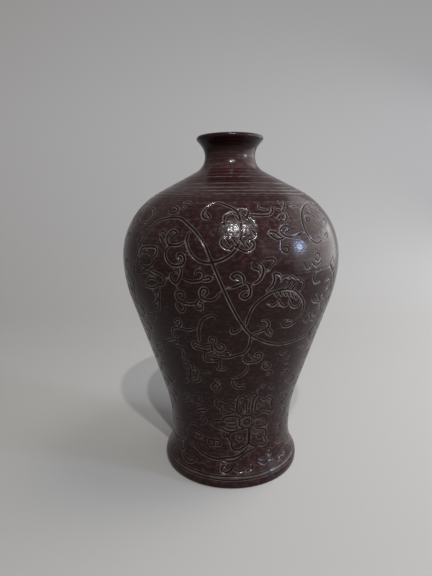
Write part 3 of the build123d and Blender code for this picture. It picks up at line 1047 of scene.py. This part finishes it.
def floor_material():
    """Matt pale grey, a little lighter on the backdrop, where the lighter grey is painted light."""
    material, net, shader = new_material("pale_floor")
    behind = ranged(net, along_axis(net, "Y"), *BACKDROP_REACH, 0, 1)
    # The backdrop's lighter grey is painted light
    colour = ramp(net, behind, ((0, FLOOR_GREY), (1, BACKDROP_PAINTED_LIGHT_GREY)))
    net.links.new(colour, shader.inputs["Base Color"])
    shader.inputs["Roughness"].default_value = FLOOR_ROUGHNESS
    shader.inputs["Specular IOR Level"].default_value = FLOOR_SPECULAR
    return material


def make_floor():
    """A pale floor that sweeps up into a backdrop."""
    line = [(FLOOR_FRONT, 0), (BACKDROP_START, 0)]
    for i in range(1, BACKDROP_STEPS + 1):
        turn = BACKDROP_SLOPE * i / BACKDROP_STEPS
        line.append((BACKDROP_START + BACKDROP_BEND * sin(turn), BACKDROP_BEND * (1 - cos(turn))))
    y, z = line[-1]
    line.append((y + BACKDROP_RUN * cos(BACKDROP_SLOPE), z + BACKDROP_RUN * sin(BACKDROP_SLOPE)))
    verts = [(x, y, z) for y, z in line for x in (-FLOOR_HALF, FLOOR_HALF)]
    faces = [(2 * i, 2 * i + 1, 2 * i + 3, 2 * i + 2) for i in range(len(line) - 1)]
    mesh = bpy.data.meshes.new("floor")
    mesh.from_pydata(verts, [], faces)
    mesh.shade_smooth()
    mesh.materials.append(floor_material())
    floor = new_object("floor", mesh)


# Strength of the room as light and as it is seen or mirrored
ROOM_LIGHT = 0.12
ROOM_SEEN = 0.36

# Lamps: the place that they stand round and point at, the floor lamp's own aim, and the window's colour
LAMP_MIDDLE = (0, 0, 0.1)
FLOOR_AIM = (0.40, 0.05, 0)
WINDOW_BLUE = (0.52, 0.66, 1.0)


def area_light(name, azimuth, elevation, distance, size, power, colour=WHITE, aim=LAMP_MIDDLE, spread=180):
    """A new lamp, seen from the vase at an angle to the right of the camera and one above the floor."""
    data = bpy.data.lights.new(name, "AREA")
    data.shape = "RECTANGLE"
    data.size, data.size_y = size
    data.energy = power
    data.color = colour
    data.spread = radians(spread)
    lamp = new_object(name, data)
    across, rise = radians(azimuth), radians(elevation)
    away = Vector((sin(across) * cos(rise), -cos(across) * cos(rise), sin(rise)))
    lamp.location = Vector(LAMP_MIDDLE) + away * distance
    lamp.rotation_euler = (lamp.location - Vector(aim)).to_track_quat("Z", "Y").to_euler()
    lamp.visible_camera = False
    return lamp


def make_room():
    """Even light from all sides, brighter where it is seen or mirrored than where it lights."""
    world = bpy.data.worlds.new("room")
    world.use_nodes = True
    net = world.node_tree
    path = net.nodes.new("ShaderNodeLightPath")
    seen = path.outputs["Is Camera Ray"]
    for kind in ("Is Glossy Ray", "Is Transmission Ray"):
        seen = maths(net, "MAXIMUM", seen, path.outputs[kind])
    strength = ranged(net, seen, 0, 1, ROOM_LIGHT, ROOM_SEEN)
    background = net.nodes["Background"]
    background.inputs["Color"].default_value = (1, 1, 1, 1)
    net.links.new(strength, background.inputs["Strength"])
    bpy.context.scene.world = world


def make_lights():
    """Two ceiling lamps, and a window, soft panels and a floor lamp at the right."""
    ceiling_lamp = {"distance": 4.0, "size": (0.09, 0.09), "power": 60}
    area_light("left_ceiling_lamp", azimuth=4, elevation=51, **ceiling_lamp)
    area_light("right_ceiling_lamp", azimuth=16, elevation=49, **ceiling_lamp)
    area_light("window", azimuth=74, elevation=17, distance=1.8, size=(0.18, 0.26), power=11,
               colour=WINDOW_BLUE)
    area_light("front_right_panel", azimuth=50, elevation=20, distance=1.6, size=(1.2, 0.9), power=3.0)
    area_light("right_panel", azimuth=104, elevation=32, distance=1.3, size=(2.0, 0.9), power=4.4,
               spread=120)
    area_light("right_low_panel", azimuth=100, elevation=8, distance=0.9, size=(1.3, 0.42), power=2.8,
               spread=150)
    floor_lamp = area_light("right_floor_lamp", azimuth=85, elevation=66, distance=1.4, size=(0.5, 0.5),
                            power=1.3, aim=FLOOR_AIM, spread=72)
    floor_lamp.visible_glossy = False


# Camera: place in metres, turns in degrees, lens and sensor in millimetres
CAMERA_PLACE = (0, -0.3582, 0.2211)
CAMERA_PITCH = 11.356
CAMERA_YAW = -1.915
CAMERA_ROLL = -0.499
CAMERA_LENS = 27
CAMERA_SENSOR = 36
CAMERA_NEAR = 0.01


def make_camera():
    """The camera at the photograph's place and angle."""
    data = bpy.data.cameras.new("camera")
    data.lens = CAMERA_LENS
    data.sensor_width = CAMERA_SENSOR
    data.clip_start = CAMERA_NEAR
    camera = new_object("camera", data)
    pitch, yaw, roll = radians(CAMERA_PITCH), radians(CAMERA_YAW), radians(CAMERA_ROLL)
    ahead = Vector((sin(yaw) * cos(pitch), cos(yaw) * cos(pitch), -sin(pitch)))
    right = Vector((cos(yaw), -sin(yaw), 0))
    up = right.cross(ahead)
    side = cos(roll) * right + sin(roll) * up
    top = cos(roll) * up - sin(roll) * right
    turn = Matrix((side, top, -ahead)).transposed()
    camera.matrix_world = Matrix.Translation(CAMERA_PLACE) @ turn.to_4x4()
    bpy.context.scene.camera = camera


make_vase()
make_floor()
make_room()
make_lights()
make_camera()
bpy.context.scene.view_settings.view_transform = "Standard"
